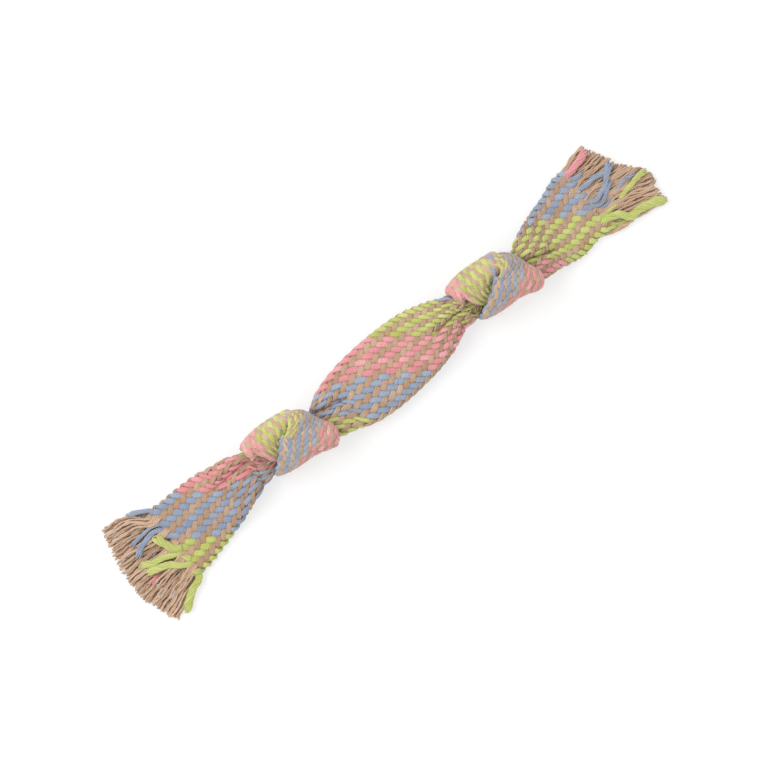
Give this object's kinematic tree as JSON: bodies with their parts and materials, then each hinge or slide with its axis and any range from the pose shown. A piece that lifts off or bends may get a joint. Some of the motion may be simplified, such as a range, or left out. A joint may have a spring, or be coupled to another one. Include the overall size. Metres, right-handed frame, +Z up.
{
  "type": "rope dog toy",
  "caption": "Flat braided rope toy in hemp and coloured cotton, tied in two overhand knots with a flat pod between them and a frayed fringe at each end.",
  "frame": {"origin": "middle of the outline on the floor that the toy lies on", "axes": "+X along the toy towards the fringe that the right knot holds, +Y across it, +Z up"},
  "size_m": [0.3514, 0.0566, 0.034],
  "materials": {
    "mixed_braid": "matt braided hemp and cotton yarn",
    "hemp_yarn": "matt undyed hemp twine",
    "pink_yarn": "matt dyed cotton yarn",
    "green_yarn": "matt dyed cotton yarn",
    "blue_yarn": "matt dyed cotton yarn"
  },
  "bodies": {
    "pod": {"pod_braid": "mixed_braid"},
    "left_knot": {"knot_left": "mixed_braid"},
    "right_knot": {"knot_right": "mixed_braid"},
    "left_tail": {"tail_braid_left": "mixed_braid", "hemp_fringe_left": "hemp_yarn", "blue_end_left_1": "blue_yarn", "blue_end_left_2": "blue_yarn", "blue_end_left_3": "blue_yarn", "pink_end_left_1": "pink_yarn", "pink_end_left_2": "pink_yarn", "pink_end_left_3": "pink_yarn", "pink_end_left_4": "pink_yarn", "pink_end_left_5": "pink_yarn", "pink_end_left_6": "pink_yarn", "pink_end_left_7": "pink_yarn", "green_end_left_1": "green_yarn", "green_end_left_2": "green_yarn", "blue_end_left_4": "blue_yarn", "blue_end_left_5": "blue_yarn", "blue_end_left_6": "blue_yarn", "blue_end_left_7": "blue_yarn", "blue_end_left_8": "blue_yarn", "green_end_left_3": "green_yarn", "green_end_left_4": "green_yarn", "green_end_left_5": "green_yarn", "green_end_left_6": "green_yarn", "green_end_left_7": "green_yarn", "green_end_left_8": "green_yarn", "green_end_left_9": "green_yarn"},
    "right_tail": {"tail_braid_right": "mixed_braid", "hemp_fringe_right": "hemp_yarn", "pink_end_right_1": "pink_yarn", "pink_end_right_2": "pink_yarn", "pink_end_right_3": "pink_yarn", "pink_end_right_4": "pink_yarn", "pink_end_right_5": "pink_yarn", "pink_end_right_6": "pink_yarn", "green_end_right_1": "green_yarn", "green_end_right_2": "green_yarn", "green_end_right_3": "green_yarn", "green_end_right_4": "green_yarn", "green_end_right_5": "green_yarn", "green_end_right_6": "green_yarn", "pink_end_right_7": "pink_yarn", "blue_end_right_1": "blue_yarn", "blue_end_right_2": "blue_yarn", "blue_end_right_3": "blue_yarn", "blue_end_right_4": "blue_yarn", "blue_end_right_5": "blue_yarn", "blue_end_right_6": "blue_yarn", "blue_end_right_7": "blue_yarn", "blue_end_right_8": "blue_yarn", "green_end_right_7": "green_yarn", "green_end_right_8": "green_yarn", "green_end_right_9": "green_yarn"}
  },
  "joints": [
    {"name": "left_inner_neck", "type": "hinge", "parent": "pod", "child": "left_knot", "pos_m": [-0.03874, 0.00228, 0.01262], "axis": [0, 1, 0], "range_deg": [-30, 30]},
    {"name": "right_inner_neck", "type": "hinge", "parent": "pod", "child": "right_knot", "pos_m": [0.04426, 0.004, 0.01262], "axis": [0, 1, 0], "range_deg": [-30, 30]},
    {"name": "left_outer_neck", "type": "hinge", "parent": "left_knot", "child": "left_tail", "pos_m": [-0.08803, 0.005, 0.01262], "axis": [0, 1, 0], "range_deg": [-45, 45]},
    {"name": "right_outer_neck", "type": "hinge", "parent": "right_knot", "child": "right_tail", "pos_m": [0.09355, 0.00128, 0.01262], "axis": [0, 1, 0], "range_deg": [-45, 45]}
  ]
}
